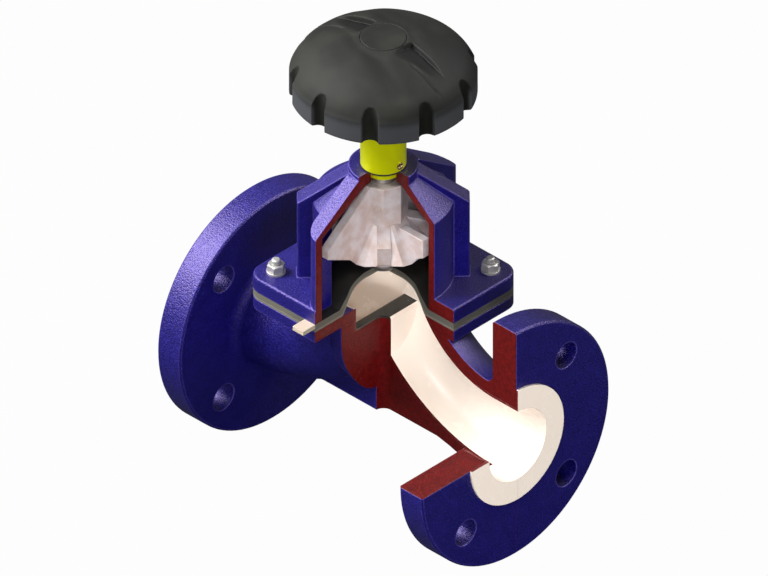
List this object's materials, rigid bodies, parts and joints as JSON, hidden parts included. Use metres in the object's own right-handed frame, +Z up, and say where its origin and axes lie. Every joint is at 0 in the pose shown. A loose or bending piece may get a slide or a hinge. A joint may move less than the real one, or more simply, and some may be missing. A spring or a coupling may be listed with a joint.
{
  "type": "weir-type diaphragm valve",
  "caption": "Flanged weir diaphragm valve cut open for display: lined cast body, domed diaphragm, bonnet with compressor, and a rising handwheel on a threaded spindle.",
  "frame": {"origin": "on the stem axis, midway between the pipe faces, at the height of the flange rims' lowest point", "axes": "+X along the pipe from the whole inlet flange to the cut outlet flange, +Z up the stem to the handwheel; the quarter with x above 0 and y below 0 is cut away"},
  "size_m": [0.23, 0.165, 0.3325],
  "materials": {
    "cast_blue": "gloss blue enamel on rough casting, cut faces painted dark red",
    "lining": "smooth ivory lining, semi-gloss",
    "rubber": "matt grey-brown rubber",
    "facing": "cream facing layer, matt",
    "steel": "turned steel, fine turning marks",
    "zinc": "zinc plated, bright",
    "bush_yellow": "gloss yellow",
    "brass": "bright brass",
    "compressor_metal": "satin die-cast metal",
    "wheel_plastic": "dark grey moulded plastic, satin"
  },
  "bodies": {
    "valve_body": {"body_casting": "cast_blue", "body_lining": "lining", "bonnet_casting": "cast_blue", "diaphragm_backing": "rubber", "diaphragm_face": "facing", "diaphragm_tab": "facing", "bonnet_bolts": "zinc", "bonnet_washers": "zinc", "bonnet_nuts": "zinc", "spindle_bush": "bush_yellow", "bush_gasket": "rubber", "grease_plug": "brass", "stem_seal": "rubber"},
    "compressor": {"compressor": "compressor_metal", "compressor_pins": "steel", "diaphragm_stud": "steel"},
    "handwheel": {"spindle": "steel", "handwheel": "wheel_plastic", "wheel_insert": "zinc", "wheel_washer": "zinc", "wheel_nut": "zinc", "wheel_cap": "wheel_plastic"}
  },
  "joints": [
    {"name": "compressor_slide", "type": "slide", "parent": "valve_body", "child": "compressor", "axis": [0, 0, 1], "range_m": [-0.034, 0], "deforming": ["diaphragm_backing", "diaphragm_face"]},
    {"name": "handwheel_turn", "type": "hinge", "parent": "compressor", "child": "handwheel", "pos_m": [0, 0, 0.2905], "axis": [0, 0, 1], "range_deg": [-1530, 0]}
  ],
  "couplings": [
    {"joint": "compressor_slide", "follows": "handwheel_turn", "m_per_rad": 0.0012732}
  ]
}
